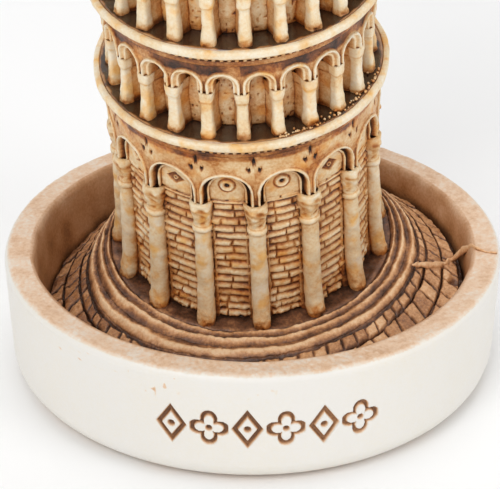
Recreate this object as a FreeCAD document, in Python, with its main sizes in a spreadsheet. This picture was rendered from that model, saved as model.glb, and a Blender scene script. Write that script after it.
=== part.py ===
"""Miniature leaning bell tower standing in a round dish, a cast souvenir built as separate pieces.

+Z is up and the origin is the middle of the dish's underside. The dish and its pad are level; every
tier of the tower shares one leaning axis. Millimetres throughout.
"""
import FreeCAD, Part
import math
import os
import Sketcher

os.makedirs("parts", exist_ok=True)
doc = FreeCAD.newDocument("leaning_tower")

LOGGIA_COUNT = 6
GROUND_BAYS = 15
LOGGIA_BAYS = 24
BELFRY_BAYS = 12
LOGGIA_TURNS = 3  # galleries before the columns line up again
ARCADE_FILL = 0.95  # an arcade keeps less than this share of its plain ring

DIMENSIONS = {
    # dish and pad
    "dish_radius": 35.0,
    "dish_rim_height": 17.8,
    "dish_edge_round": 0.8,
    "dish_foot_round": 3.0,
    "dish_foot_inset": 0.5,
    "dish_foot_chamfer": 0.9,
    "dish_underside": 0.5,
    "rim_inner_radius": 30.8,
    "well_radius": 29.2,
    "well_floor": 4.0,
    "well_slope_height": 13.8,
    "pad_radius": 31.0,
    "pad_thick": 1.2,
    # tower foot and lean
    "foot_x": -0.3,
    "foot_y": 8.75,
    "foot_z": 13.8,
    "lean_forward": 11.95,
    "lean_left": 2.2,
    "plinth_radius": 20.4,
    "plinth_depth": 12.0,
    "plinth_cut_below": 3.0,
    "plinth_cut_above": 10.0,
    # terraced floor round the tower
    "terrace_slope_forward": 6.0,
    "terrace_slope_left": 5.0,
    # ground storey
    "ground_wall_radius": 17.4,
    "ground_column_circle": 17.75,
    "ground_column_radius": 1.25,
    "ground_foot_radius": 1.6,
    "ground_foot_height": 3.0,
    "ground_capital_radius": 1.6,
    "ground_capital_height": 4.2,
    "ground_column_height": 21.6,
    "ground_arcade_radius": 18.7,
    "ground_arch_span": 5.0,
    "ground_arch_spring": 23.7,
    "ground_arcade_top": 30.2,
    "ground_top": 33.2,
    "ground_turn": 4.4,
    # loggias
    "loggia_pitch": 15.0,
    "loggia_wall_radius": 15.4,
    "loggia_column_circle": 17.6,
    "loggia_column_radius": 0.75,
    "loggia_web_width": 0.9,
    "loggia_capital_radius": 1.05,
    "loggia_capital_height": 1.7,
    "loggia_column_height": 7.1,
    "loggia_arcade_radius": 18.4,
    "loggia_arch_span": 2.7,
    "loggia_arch_spring": 8.3,
    "loggia_arcade_top": 11.6,
    "loggia_turn": 0.9,
    "loggia_turn_step": 2.7,
    # belfry
    "belfry_wall_radius": 12.4,
    "belfry_column_circle": 12.75,
    "belfry_column_radius": 0.8,
    "belfry_foot_radius": 1.0,
    "belfry_foot_height": 1.2,
    "belfry_capital_radius": 1.1,
    "belfry_capital_height": 1.2,
    "belfry_column_height": 8.0,
    "belfry_arcade_radius": 13.6,
    "belfry_arch_span": 4.2,
    "belfry_arch_spring": 9.0,
    "belfry_arcade_top": 13.2,
    "belfry_top": 16.0,
    "belfry_cornice_radius": 14.8,
    "belfry_rim_inset": 0.4,
    "belfry_seat_inset": 1.6,
    "parapet_height": 1.8,
    "parapet_wall": 1.2,
    # fits shared by every tier
    "cornice_radius": 20.1,
    "cornice_rim_radius": 19.6,
    "cornice_rim_height": 1.0,
    "cornice_soffit_inset": 1.2,
    "cornice_cove_inset": 0.7,
    "cornice_cove_rise": 0.8,
    "deck_radius": 18.8,
    "deck_thick": 1.0,
    "spigot_radius": 9.0,
    "spigot_height": 2.0,
    "socket_depth": 1.2,
    "fit_gap": 0.1,
    "arch_cut_below": 1.0,
    "arch_cut_beyond": 5.0,
}

sheet = doc.addObject("Spreadsheet::Sheet", "dims")
for row, (alias, number) in enumerate(DIMENSIONS.items(), start=1):
    sheet.set(f"A{row}", alias)
    sheet.set(f"B{row}", str(number))
    sheet.setAlias(f"B{row}", alias)
doc.recompute()


def size_of(expression):
    """Value of a sum such as 'dish_radius - dish_edge_round'."""
    total, sign = 0.0, 1.0
    for word in expression.split():
        if word in ("+", "-"):
            sign = 1.0 if word == "+" else -1.0
        else:
            total += sign * (DIMENSIONS[word] if word in DIMENSIONS else float(word))
    return total


def sheet_expression(expression):
    """The same sum as FreeCAD reads it, with each dimension taken from the sheet."""
    words = expression.split()
    return " ".join(f"dims.{word}" if word in DIMENSIONS else word for word in words)


def named_placement(x, y, z, forward=0.0, left=0.0):
    """A frame at x, y, z whose +Z leans forward (towards -Y) and left (towards -X)."""
    forward_turn = FreeCAD.Rotation(FreeCAD.Vector(1, 0, 0), forward)
    left_turn = FreeCAD.Rotation(FreeCAD.Vector(0, 1, 0), -left)
    return FreeCAD.Placement(FreeCAD.Vector(x, y, z), left_turn.multiply(forward_turn))


TOWER_FRAME = named_placement(
    size_of("foot_x"), size_of("foot_y"), size_of("foot_z"), size_of("lean_forward"), size_of("lean_left")
)


def tier_placement(height, turn=0.0):
    """A frame on the tower's axis at a height above its foot, turned about that axis in degrees."""
    spin = FreeCAD.Rotation(FreeCAD.Vector(0, 0, 1), turn)
    return TOWER_FRAME.multiply(FreeCAD.Placement(FreeCAD.Vector(0, 0, height), spin))


def bay_placements(height, first_column, bays):
    """Frames for a tier's posts and for its arches, which fall midway between the posts.

    Posts start on local +X and arches on local +Y, and the first column is an angle from the front.
    """
    columns = first_column - 90.0
    arches = columns + 180.0 / bays - 90.0
    return tier_placement(height, columns), tier_placement(height, arches)


def new_body(label, placement):
    body = doc.addObject("PartDesign::Body", label)
    body.Label = label
    body.AllowCompound = True
    body.Placement = placement
    return body


def new_sketch(body, name, role):
    sketch = body.newObject("Sketcher::SketchObject", name)
    plane = next(item for item in body.Origin.OriginFeatures if item.Role == role)
    sketch.AttachmentSupport = [(plane, "")]
    sketch.MapMode = "FlatFace"
    return sketch


def place_vertex(sketch, line, corner, across, up):
    """Pin a line's start to two distances from the sketch's origin, taken from the sheet."""
    for kind, expression, axis in (("DistanceX", across, -2), ("DistanceY", up, -1)):
        distance = size_of(expression)
        if abs(distance) < 1e-9:
            sketch.addConstraint(Sketcher.Constraint("PointOnObject", line, 1, axis))
            continue
        index = sketch.addConstraint(Sketcher.Constraint(kind, -1, 1, line, 1, distance))
        name = f"{kind[-1].lower()}{corner}"
        sketch.renameConstraint(index, name)
        sketch.setExpression(f"Constraints.{name}", sheet_expression(expression))


def outline(sketch, corners):
    """A closed outline of straight runs through corners given as pairs of sheet sums."""
    points = [FreeCAD.Vector(size_of(across), size_of(up), 0) for across, up in corners]
    lines = []
    for start, end in zip(points, points[1:] + points[:1]):
        lines.append(sketch.addGeometry(Part.LineSegment(start, end), False))
    for here, after in zip(lines, lines[1:] + lines[:1]):
        sketch.addConstraint(Sketcher.Constraint("Coincident", here, 2, after, 1))
    for corner, (line, (across, up)) in enumerate(zip(lines, corners)):
        place_vertex(sketch, line, corner, across, up)


def revolve(body, name, corners, kind="PartDesign::Revolution"):
    """Turn an outline in the XZ plane (radius, height) about the body's own Z axis."""
    sketch = new_sketch(body, f"{name}_outline", "XZ_Plane")
    outline(sketch, corners)
    feature = body.newObject(kind, name)
    feature.Profile = sketch
    feature.ReferenceAxis = (sketch, ["V_Axis"])
    feature.Angle = 360.0
    sketch.Visibility = False
    return feature


def pad_circle(body, name, circle, radius, length):
    """A round post: a circle on the body's +X side, raised from the body's own base plane."""
    sketch = new_sketch(body, f"{name}_outline", "XY_Plane")
    middle = FreeCAD.Vector(size_of(circle), 0, 0)
    disc = sketch.addGeometry(Part.Circle(middle, FreeCAD.Vector(0, 0, 1), size_of(radius)), False)
    sketch.addConstraint(Sketcher.Constraint("PointOnObject", disc, 3, -1))
    for tag, constraint, expression in (
        ("circle", Sketcher.Constraint("DistanceX", -1, 1, disc, 3, size_of(circle)), circle),
        ("post_radius", Sketcher.Constraint("Radius", disc, size_of(radius)), radius),
    ):
        index = sketch.addConstraint(constraint)
        sketch.renameConstraint(index, tag)
        sketch.setExpression(f"Constraints.{tag}", sheet_expression(expression))
    return raise_sketch(body, name, sketch, length)


def raise_sketch(body, name, sketch, length):
    pad = body.newObject("PartDesign::Pad", name)
    pad.Profile = sketch
    pad.setExpression("Length", sheet_expression(length))
    sketch.Visibility = False
    return pad


def lift_sketch(feature, height):
    """Start a post above the base plane, at a height from the sheet."""
    sketch = feature.Profile[0]
    sketch.setExpression("AttachmentOffset.Base.z", sheet_expression(height))


def polar(body, name, originals, count):
    """Repeat features round the body's own Z axis and make the pattern the body's result."""
    pattern = body.newObject("PartDesign::PolarPattern", name)
    pattern.Originals = originals
    axis = next(item for item in body.Origin.OriginFeatures if item.Role == "Z_Axis")
    pattern.Axis = (axis, [""])
    pattern.Angle = 360.0
    pattern.Occurrences = count
    body.Tip = pattern
    return pattern


def drum(label, placement, radius, height, socket=True, spigot=True):
    """A solid wall drum with a socket beneath and a locating spigot on top."""
    body = new_body(label, placement)
    corners = [("0", "0"), (radius, "0"), (radius, height)]
    if spigot:
        corners += [("spigot_radius", height), ("spigot_radius", f"{height} + spigot_height")]
        corners += [("0", f"{height} + spigot_height")]
    else:
        corners += [("0", height)]
    if socket:
        corners[0:1] = [("0", "socket_depth"), ("spigot_radius + fit_gap", "socket_depth")]
        corners.insert(2, ("spigot_radius + fit_gap", "0"))
    revolve(body, f"{label}_drum", corners)
    return body


def post_group(label, placement, tier, count, with_web=False):
    """A ring of posts with capitals, and feet or webs, trimmed to the wall that they stand against."""
    body = new_body(label, placement)
    circle = f"{tier}_column_circle"
    features = [pad_circle(body, f"{label}_shaft", circle, f"{tier}_column_radius", f"{tier}_column_height")]
    capital_height = f"{tier}_capital_height"
    capital = pad_circle(body, f"{label}_capital", circle, f"{tier}_capital_radius", capital_height)
    lift_sketch(capital, f"{tier}_column_height - {tier}_capital_height")
    features.append(capital)
    if with_web:
        sketch = new_sketch(body, f"{label}_web_outline", "XY_Plane")
        half = size_of(f"{tier}_web_width") / 2
        inner = size_of(f"{tier}_wall_radius") - size_of(f"{tier}_column_radius")
        web_outline(sketch, inner, size_of(circle), half, tier)
        features.append(raise_sketch(body, f"{label}_web", sketch, f"{tier}_column_height"))
    else:
        features.append(
            pad_circle(body, f"{label}_foot", circle, f"{tier}_foot_radius", f"{tier}_foot_height")
        )
    polar(body, f"{label}_ring", features, count)
    wall = f"{tier}_wall_radius"
    height = f"{tier}_column_height"
    corners = [("0", "0"), (wall, "0"), (wall, height), ("0", height)]
    trim = revolve(body, f"{label}_trim", corners, "PartDesign::Groove")
    body.Tip = trim
    return body


def web_outline(sketch, inner, outer, half, tier):
    """A thin rectangle from inside the wall to the post's middle, symmetric about the X axis."""
    corners = [(inner, -half), (outer, -half), (outer, half), (inner, half)]
    points = [FreeCAD.Vector(x, y, 0) for x, y in corners]
    lines = []
    for start, end in zip(points, points[1:] + points[:1]):
        lines.append(sketch.addGeometry(Part.LineSegment(start, end), False))
    for here, after in zip(lines, lines[1:] + lines[:1]):
        sketch.addConstraint(Sketcher.Constraint("Coincident", here, 2, after, 1))
    for line in (lines[0], lines[2]):
        sketch.addConstraint(Sketcher.Constraint("Horizontal", line))
    sketch.addConstraint(Sketcher.Constraint("Vertical", lines[3]))
    sketch.addConstraint(Sketcher.Constraint("Symmetric", lines[1], 1, lines[1], 2, -1))
    named = (
        ("web_width", ("DistanceY", lines[1], 1, lines[1], 2, 2 * half), f"{tier}_web_width"),
        ("web_outer", ("DistanceX", -1, 1, lines[1], 1, outer), f"{tier}_column_circle"),
        ("web_inner", ("DistanceX", -1, 1, lines[0], 1, inner), f"{tier}_wall_radius - {tier}_column_radius"),
    )
    for tag, constraint, expression in named:
        index = sketch.addConstraint(Sketcher.Constraint(*constraint))
        sketch.renameConstraint(index, tag)
        sketch.setExpression(f"Constraints.{tag}", sheet_expression(expression))


def arcade(label, placement, tier, count):
    """A ring wall with a round-headed opening in each bay, cut radially and repeated."""
    body = new_body(label, placement)
    wall, face = f"{tier}_wall_radius", f"{tier}_arcade_radius"
    bottom, top = f"{tier}_column_height", f"{tier}_arcade_top"
    revolve(body, f"{label}_band", [(wall, bottom), (face, bottom), (face, top), (wall, top)])
    doc.recompute()
    before = body.Shape.Volume
    sketch = new_sketch(body, f"{label}_arch", "XZ_Plane")
    half = size_of(f"{tier}_arch_span") / 2
    low, spring = size_of(f"{bottom} - arch_cut_below"), size_of(f"{tier}_arch_spring")
    left, right = FreeCAD.Vector(-half, spring, 0), FreeCAD.Vector(half, spring, 0)
    left_low, right_low = FreeCAD.Vector(-half, low, 0), FreeCAD.Vector(half, low, 0)
    circle = Part.Circle(FreeCAD.Vector(0, spring, 0), FreeCAD.Vector(0, 0, 1), half)
    head = Part.ArcOfCircle(circle, 0, math.pi)
    arc = sketch.addGeometry(head, False)
    jamb_left = sketch.addGeometry(Part.LineSegment(left, left_low), False)
    sill = sketch.addGeometry(Part.LineSegment(left_low, right_low), False)
    jamb_right = sketch.addGeometry(Part.LineSegment(right_low, right), False)
    for one, end, other, start in ((arc, 2, jamb_left, 1), (jamb_left, 2, sill, 1), (sill, 2, jamb_right, 1)):
        sketch.addConstraint(Sketcher.Constraint("Coincident", one, end, other, start))
    sketch.addConstraint(Sketcher.Constraint("Coincident", jamb_right, 2, arc, 1))
    sketch.addConstraint(Sketcher.Constraint("Vertical", jamb_left))
    sketch.addConstraint(Sketcher.Constraint("Vertical", jamb_right))
    sketch.addConstraint(Sketcher.Constraint("Horizontal", sill))
    sketch.addConstraint(Sketcher.Constraint("PointOnObject", arc, 3, -2))
    sketch.addConstraint(Sketcher.Constraint("Horizontal", arc, 3, arc, 1))
    sketch.addConstraint(Sketcher.Constraint("Horizontal", arc, 3, arc, 2))
    named = (
        ("span", Sketcher.Constraint("DistanceX", sill, 1, sill, 2, 2 * half), f"{tier}_arch_span"),
        ("spring", Sketcher.Constraint("DistanceY", -1, 1, arc, 3, spring), f"{tier}_arch_spring"),
        ("sill", Sketcher.Constraint("DistanceY", -1, 1, sill, 1, low), f"{bottom} - arch_cut_below"),
    )
    for tag, constraint, expression in named:
        index = sketch.addConstraint(constraint)
        sketch.renameConstraint(index, tag)
        sketch.setExpression(f"Constraints.{tag}", sheet_expression(expression))
    opening = body.newObject("PartDesign::Pocket", f"{label}_opening")
    opening.Profile = sketch
    opening.setExpression("Length", sheet_expression(f"{face} + arch_cut_beyond"))
    sketch.Visibility = False
    polar(body, f"{label}_ring", [opening], count)
    doc.recompute()
    if body.Shape.Volume > ARCADE_FILL * before:
        raise RuntimeError(f"{label}: the arches cut nothing")
    return body


def cornice(label, placement, levels, radii):
    """A projecting cornice ring with an upstand that holds the deck.

    levels are its bottom and top; radii are its wall, its widest lower edge, its rim and its seat.
    """
    bottom, top = levels
    wall, lower_radius, rim_radius, seat_radius = radii
    body = new_body(label, placement)
    corners = [
        (wall, bottom),
        (f"{rim_radius} - cornice_soffit_inset", bottom),
        (f"{rim_radius} - cornice_cove_inset", f"{bottom} + cornice_cove_rise"),
        (lower_radius, f"{top} - cornice_rim_height"),
        (rim_radius, top),
        (seat_radius, top),
        (seat_radius, f"{top} - deck_thick"),
        (wall, f"{top} - deck_thick"),
    ]
    revolve(body, f"{label}_moulding", corners)
    return body


def deck(label, placement, top):
    """A round deck plate on the drum, with a hole for the drum's spigot."""
    body = new_body(label, placement)
    hole, edge = "spigot_radius + fit_gap", "deck_radius"
    bottom = f"{top} - deck_thick"
    revolve(body, f"{label}_plate", [(hole, bottom), (edge, bottom), (edge, top), (hole, top)])
    return body


def felt_pad():
    body = new_body("felt_pad", named_placement(0, 0, 0))
    corners = [("0", "0"), ("pad_radius", "0"), ("pad_radius", "pad_thick"), ("0", "pad_thick")]
    revolve(body, "pad_disc", corners)
    return body


def base_dish():
    """A deep round dish, thick in the wall, rounded at its foot and rim, recessed for the pad."""
    body = new_body("base_dish", named_placement(0, 0, 0))
    foot_radius = "dish_radius - dish_foot_inset"
    corners = [
        ("0", "pad_thick"),
        ("pad_radius", "pad_thick"),
        ("pad_radius", "dish_underside"),
        (f"{foot_radius} - dish_foot_round", "dish_underside"),
        (f"{foot_radius} - dish_foot_chamfer", "dish_underside + dish_foot_chamfer"),
        (foot_radius, "dish_underside + dish_foot_round"),
        ("dish_radius", "dish_rim_height - dish_foot_round"),
        ("dish_radius", "dish_rim_height - dish_edge_round"),
        ("dish_radius - dish_edge_round", "dish_rim_height"),
        ("rim_inner_radius", "dish_rim_height"),
        ("well_radius", "well_floor"),
        ("0", "well_floor"),
    ]
    revolve(body, "dish_wall", corners)
    return body


def primitive(kind, label, placement, sizes):
    item = doc.addObject(kind, label)
    for name, value in sizes.items():
        if isinstance(value, str):
            item.setExpression(name, sheet_expression(value))
        else:
            setattr(item, name, value)
    item.Placement = placement
    return item


def combine(kind, label, base, tool):
    item = doc.addObject(kind, label)
    item.Label = label
    if kind == "Part::MultiCommon":
        item.Shapes = [base, tool]
    else:
        item.Base = base
        item.Tool = tool
    return item


def well_space(label):
    """The dish's well as a solid, carried on above the rim with the same slope."""
    slope = (size_of("rim_inner_radius") - size_of("well_radius")) / size_of("well_slope_height")
    tall = 2 * size_of("well_slope_height")
    sizes = {"Radius1": "well_radius", "Radius2": size_of("well_radius") + slope * tall, "Height": tall}
    return primitive("Part::Cone", label, named_placement(0, 0, size_of("well_floor")), sizes)


def tower_plinth():
    """The round block that carries the tower, let into the well and following the tower's lean."""
    depth = size_of("plinth_depth")
    sizes = {"Radius": "plinth_radius", "Height": "plinth_depth"}
    block = primitive("Part::Cylinder", "plinth_block", tier_placement(-depth), sizes)
    return combine("Part::MultiCommon", "tower_plinth", block, well_space("plinth_well"))


TERRACES = (
    # name, share of the way from the foot to the well wall at its outer edge, height of its top
    ("ridge_ring_inner", 0.10, 11.8),
    ("ridge_ring_middle", 0.22, 11.6),
    ("ridge_ring_outer", 0.35, 11.4),
    ("paving_course_inner", 0.49, 10.7),
    ("paving_course_middle", 0.72, 9.9),
    ("paving_course_outer", 1.00, 9.1),
)


def terrace_circle(share):
    """Middle (x, y) and radius of the circle that far from the tower's foot to the well's wall."""
    keep = 1.0 - share
    radius = size_of("plinth_radius") * keep + size_of("well_radius") * share
    return size_of("foot_x") * keep, size_of("foot_y") * keep, radius


def terrace(label, inner_share, outer_share, top):
    """One ring of the terraced floor: its edges are upright and its top follows the floor's slope."""
    floor = size_of("well_floor")
    tall = 2 * size_of("well_slope_height")
    if outer_share < 1.0:
        x, y, radius = terrace_circle(outer_share)
        sizes = {"Radius": radius, "Height": tall}
        outer = primitive("Part::Cylinder", f"{label}_outer", named_placement(x, y, floor), sizes)
    else:
        outer = well_space(f"{label}_outer")
    ring = outer
    if inner_share > 0.0:
        x, y, radius = terrace_circle(inner_share)
        sizes = {"Radius": radius, "Height": tall}
        inner = primitive("Part::Cylinder", f"{label}_inner", named_placement(x, y, floor), sizes)
        ring = combine("Part::Cut", f"{label}_ring", outer, inner)
    within = combine("Part::MultiCommon", f"{label}_within", ring, well_space(f"{label}_well"))
    slope = (size_of("terrace_slope_forward"), size_of("terrace_slope_left"))
    side, depth = 4 * size_of("dish_radius"), 2 * size_of("dish_radius")
    corner = FreeCAD.Placement(FreeCAD.Vector(-side / 2, -side / 2, -depth), FreeCAD.Rotation())
    under = named_placement(0, 0, top, *slope).multiply(corner)
    slab_sizes = {"Length": side, "Width": side, "Height": depth}
    slab = primitive("Part::Box", f"{label}_slope", under, slab_sizes)
    sloped = combine("Part::MultiCommon", f"{label}_sloped", within, slab)
    socket_depth = size_of("plinth_depth + plinth_cut_below")
    socket_sizes = {"Radius": "plinth_radius", "Height": socket_depth + size_of("plinth_cut_above")}
    socket = primitive("Part::Cylinder", f"{label}_socket", tier_placement(-socket_depth), socket_sizes)
    return combine("Part::Cut", label, sloped, socket)


def terraces():
    pieces = []
    inner_share = 0.0
    for label, outer_share, top in TERRACES:
        pieces.append(terrace(label, inner_share, outer_share, top))
        inner_share = outer_share
    return pieces


CORNICE_EDGES = ("cornice_radius", "cornice_rim_radius", "deck_radius")


def ground_storey():
    """The solid ground storey: drum, half-columns, blind arcade, cornice and deck."""
    wall, top = "ground_wall_radius", "ground_top"
    base, arches = bay_placements(0, size_of("ground_turn"), GROUND_BAYS)
    return [
        drum("ground_core", base, wall, f"{top} - deck_thick", socket=False),
        post_group("ground_columns", base, "ground", GROUND_BAYS),
        arcade("ground_arcade", arches, "ground", GROUND_BAYS),
        cornice("ground_cornice", base, ("ground_arcade_top", top), (wall, *CORNICE_EDGES)),
        deck("ground_deck", base, top),
    ]


def loggia(number):
    """One open gallery: drum, webbed columns, arcade, cornice and deck."""
    name = f"loggia_{number}"
    level = size_of("ground_top") + (number - 1) * size_of("loggia_pitch")
    wall, top = "loggia_wall_radius", "loggia_pitch"
    turn = size_of("loggia_turn") + size_of("loggia_turn_step") * ((number - 1) % LOGGIA_TURNS)
    base, arches = bay_placements(level, turn, LOGGIA_BAYS)
    return [
        drum(f"{name}_core", base, wall, f"{top} - deck_thick"),
        post_group(f"{name}_columns", base, "loggia", LOGGIA_BAYS, with_web=True),
        arcade(f"{name}_arcade", arches, "loggia", LOGGIA_BAYS),
        cornice(f"{name}_cornice", base, ("loggia_arcade_top", top), (wall, *CORNICE_EDGES)),
        deck(f"{name}_deck", base, top),
    ]


def belfry():
    """The narrower bell chamber with its own arcade, cornice, deck and parapet."""
    level = size_of("ground_top") + LOGGIA_COUNT * size_of("loggia_pitch")
    wall, top = "belfry_wall_radius", "belfry_top"
    base, arches = bay_placements(level, 0.0, BELFRY_BAYS)
    edge = "belfry_cornice_radius"
    seat = f"{edge} - belfry_seat_inset"
    radii = (wall, edge, f"{edge} - belfry_rim_inset", seat)
    parapet = new_body("belfry_parapet", base)
    inner = f"{wall} - parapet_wall"
    tall = f"{top} + parapet_height"
    revolve(parapet, "parapet_ring", [(inner, top), (wall, top), (wall, tall), (inner, tall)])
    return [
        drum("belfry_core", base, wall, f"{top} - deck_thick", spigot=False),
        post_group("belfry_columns", base, "belfry", BELFRY_BAYS),
        arcade("belfry_arcade", arches, "belfry", BELFRY_BAYS),
        cornice("belfry_cornice", base, ("belfry_arcade_top", top), radii),
        roof_deck(base, top, seat),
        parapet,
    ]


def roof_deck(placement, top, radius):
    body = new_body("belfry_deck", placement)
    bottom = f"{top} - deck_thick"
    revolve(body, "roof_plate", [("0", bottom), (radius, bottom), (radius, top), ("0", top)])
    return body


def check_and_write(pieces):
    """Stop on any failed feature or bad shape, then write one STEP file per piece."""
    doc.recompute()
    for item in doc.Objects:
        if "Invalid" in item.State or "Error" in item.State:
            raise RuntimeError(f"{item.Name}: {item.State}")
    for piece in pieces:
        shape = piece.Shape
        if shape.isNull() or not shape.isValid() or not shape.Solids:
            raise RuntimeError(f"{piece.Label}: bad shape")
    for piece in pieces:
        piece.Shape.exportStep(f"parts/{piece.Label}.step")
        print(piece.Label, len(piece.Shape.Solids), round(piece.Shape.Volume, 1))


pieces = [felt_pad(), base_dish(), tower_plinth()]
pieces += terraces()
pieces += ground_storey()
for number in range(1, LOGGIA_COUNT + 1):
    pieces += loggia(number)
pieces += belfry()
check_and_write(pieces)
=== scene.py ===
"""Cast-resin miniature of a leaning bell tower in a round dish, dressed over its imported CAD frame."""
import math

import bmesh
import bpy
import numpy as np
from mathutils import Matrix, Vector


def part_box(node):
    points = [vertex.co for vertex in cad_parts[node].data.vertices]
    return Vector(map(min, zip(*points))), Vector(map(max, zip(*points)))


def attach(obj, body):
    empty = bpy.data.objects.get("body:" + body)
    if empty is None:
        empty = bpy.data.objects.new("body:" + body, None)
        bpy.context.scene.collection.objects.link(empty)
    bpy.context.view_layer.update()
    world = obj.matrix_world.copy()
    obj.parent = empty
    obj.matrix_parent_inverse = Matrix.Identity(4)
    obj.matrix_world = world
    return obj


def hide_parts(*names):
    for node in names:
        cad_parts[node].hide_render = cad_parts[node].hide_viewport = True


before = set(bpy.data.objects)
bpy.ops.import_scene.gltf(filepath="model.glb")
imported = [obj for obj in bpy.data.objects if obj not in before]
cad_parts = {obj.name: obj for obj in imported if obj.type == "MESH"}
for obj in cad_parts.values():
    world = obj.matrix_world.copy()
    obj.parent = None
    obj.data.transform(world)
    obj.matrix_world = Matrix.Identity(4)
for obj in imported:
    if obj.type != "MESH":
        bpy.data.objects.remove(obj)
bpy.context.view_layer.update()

MM = 0.001
BODY = "root"

# ---------------- sizes in mm, angles in degrees
LOGGIAS = 6
GROUND_TOP, DECK_THICK = 33.2, 1.0
GROUND_BAYS, LOGGIA_BAYS, BELFRY_BAYS = 15, 24, 12
GROUND_PHASE = 4.4
LOGGIA_PHASES = (0.9, 3.6, 6.3)


# ---------------- frames
def middle(node):
    """Middle of a CAD node's box in mm."""
    low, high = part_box(node)
    return (np.array(low) + np.array(high)) / 2 / MM


class Axis:
    """An upright or leaning axis: points are given by radius, angle from the front and height."""

    def __init__(self, foot, up, across):
        self.foot = np.array(foot, float)
        self.up = np.array(up, float)
        self.across = np.array(across, float)
        self.back = np.cross(self.up, self.across)

    def at(self, radius, angle, height):
        radius, angle, height = np.broadcast_arrays(radius, angle, height)
        side, front = np.sin(angle), np.cos(angle)
        out = self.foot + height[..., None] * self.up
        out = out + (radius * side)[..., None] * self.across
        return out - (radius * front)[..., None] * self.back

    def raised(self, height):
        return Axis(self.foot + height * self.up, self.up, self.across)


def tower_axis():
    """The tower's leaning axis, read from its lowest and highest gallery decks, and the galleries' pitch."""
    decks = [middle("ground_deck"), middle(f"loggia_{LOGGIAS}_deck")]
    up = decks[1] - decks[0]
    pitch = np.linalg.norm(up) / LOGGIAS
    up = up / np.linalg.norm(up)
    left = math.atan2(-up[0], up[2])
    across = (math.cos(left), 0.0, math.sin(left))
    return Axis(decks[0] - up * (GROUND_TOP - DECK_THICK / 2), up, across), pitch


tower, loggia_pitch = tower_axis()
level = Axis((0, 0, 0), (0, 0, 1), (1, 0, 0))
dish_low, dish_high = (np.array(corner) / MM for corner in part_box("base_dish"))
dish_radius = (dish_high[0] - dish_low[0]) / 2
rim_height = dish_high[2]
pad_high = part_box("felt_pad")[1][2] / MM
pad_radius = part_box("felt_pad")[1][0] / MM


# ---------------- noise
def lattice(x, y, z, seed):
    """A fixed value from 0 to 1 for each whole-numbered cell."""
    value = (x * 374761393 + y * 668265263 + z * 974634777 + seed * 1274126177) & 0xFFFFFFFF
    value = ((value ^ (value >> 13)) * 1274126177) & 0xFFFFFFFF
    return ((value ^ (value >> 16)) & 0xFFFF) / 65535.0


def noise(points, size, seed=0):
    """Smooth value noise from -1 to 1 at points (..., 3) with cells of that size."""
    scaled = np.asarray(points, float) / size + 1000.0
    cell = np.floor(scaled).astype(np.int64)
    part = scaled - cell
    part = part * part * (3 - 2 * part)
    total = np.zeros(scaled.shape[:-1])
    for dx in (0, 1):
        for dy in (0, 1):
            for dz in (0, 1):
                weight = np.abs(1 - dx - part[..., 0]) * np.abs(1 - dy - part[..., 1])
                weight = weight * np.abs(1 - dz - part[..., 2])
                total += weight * lattice(cell[..., 0] + dx, cell[..., 1] + dy, cell[..., 2] + dz, seed)
    return 2 * total - 1


def flat_noise(x, y, size, seed=0):
    return noise(np.stack(np.broadcast_arrays(x, y, 0.0 * np.asarray(x)), -1), size, seed)


def step(low, high, value):
    """0 below low, 1 above high, smooth between."""
    part = np.clip((np.asarray(value, float) - low) / (high - low), 0, 1)
    return part * part * (3 - 2 * part)


# ---------------- meshes
class Solid:
    """Vertices, faces and a value of stains and painted shade, gathered from one or more closed shells."""

    def __init__(self):
        self.points, self.stain, self.faces, self.count = [], [], [], 0

    def add(self, points, faces, stain):
        """Add a closed shell, turned so that its faces look outwards."""
        points = np.asarray(points, float).reshape(-1, 3)
        stain = np.broadcast_to(np.asarray(stain, float).reshape(-1), (len(points),))
        volume = 0.0
        for face in faces:
            first = points[face[:, 0]]
            for a, b in zip(range(1, face.shape[1] - 1), range(2, face.shape[1])):
                volume += np.einsum("ij,ij->i", first, np.cross(points[face[:, a]], points[face[:, b]])).sum()
        for face in faces:
            turned = face[:, ::-1] if volume < 0 else face
            self.faces.append(turned + self.count)
        self.points.append(points)
        self.stain.append(stain)
        self.count += len(points)

    def ring(self, points, stain):
        """A grid closed both ways: round the axis and round its profile."""
        around, profile = points.shape[:2]
        self.add(points, [grid_faces(around, profile, True, True)], stain)
        return self

    def capped(self, points, stain):
        """Rows of a closed loop, closed at each end by a fan."""
        rows, loop = points.shape[:2]
        ends = np.stack([points[0].mean(0), points[-1].mean(0)])
        stain = np.broadcast_to(stain, (rows, loop)).reshape(-1)
        stain = np.concatenate([stain, [stain[0], stain[-1]]])
        here = np.arange(loop)
        after = (here + 1) % loop
        start = np.stack([after, here, np.full(loop, rows * loop)], -1)
        last = (rows - 1) * loop
        end = np.stack([here + last, after + last, np.full(loop, rows * loop + 1)], -1)
        points = np.concatenate([points.reshape(-1, 3), ends])
        self.add(points, [grid_faces(rows, loop, False, True), start, end], stain)
        return self

    def arrays(self):
        return np.concatenate(self.points), np.concatenate(self.stain)


def grid_faces(rows, columns, wrap_rows, wrap_columns):
    """Four-sided faces between neighbouring points of a grid."""
    row = np.arange(rows if wrap_rows else rows - 1)
    column = np.arange(columns if wrap_columns else columns - 1)
    row, column = (item.ravel() for item in np.meshgrid(row, column, indexing="ij"))
    next_row, next_column = (row + 1) % rows, (column + 1) % columns
    corners = [row * columns + column, next_row * columns + column]
    corners += [next_row * columns + next_column, row * columns + next_column]
    return np.stack(corners, -1)


def vertex_normals(points, faces):
    normals = np.zeros_like(points)
    for face in faces:
        one, two = points[face[:, 2]] - points[face[:, 0]], points[face[:, -1]] - points[face[:, 1]]
        normal = np.cross(one, two)
        for column in range(face.shape[1]):
            for axis in range(3):
                normals[:, axis] += np.bincount(face[:, column], normal[:, axis], len(points))
    return normals / np.maximum(np.linalg.norm(normals, axis=1, keepdims=True), 1e-9)


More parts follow.
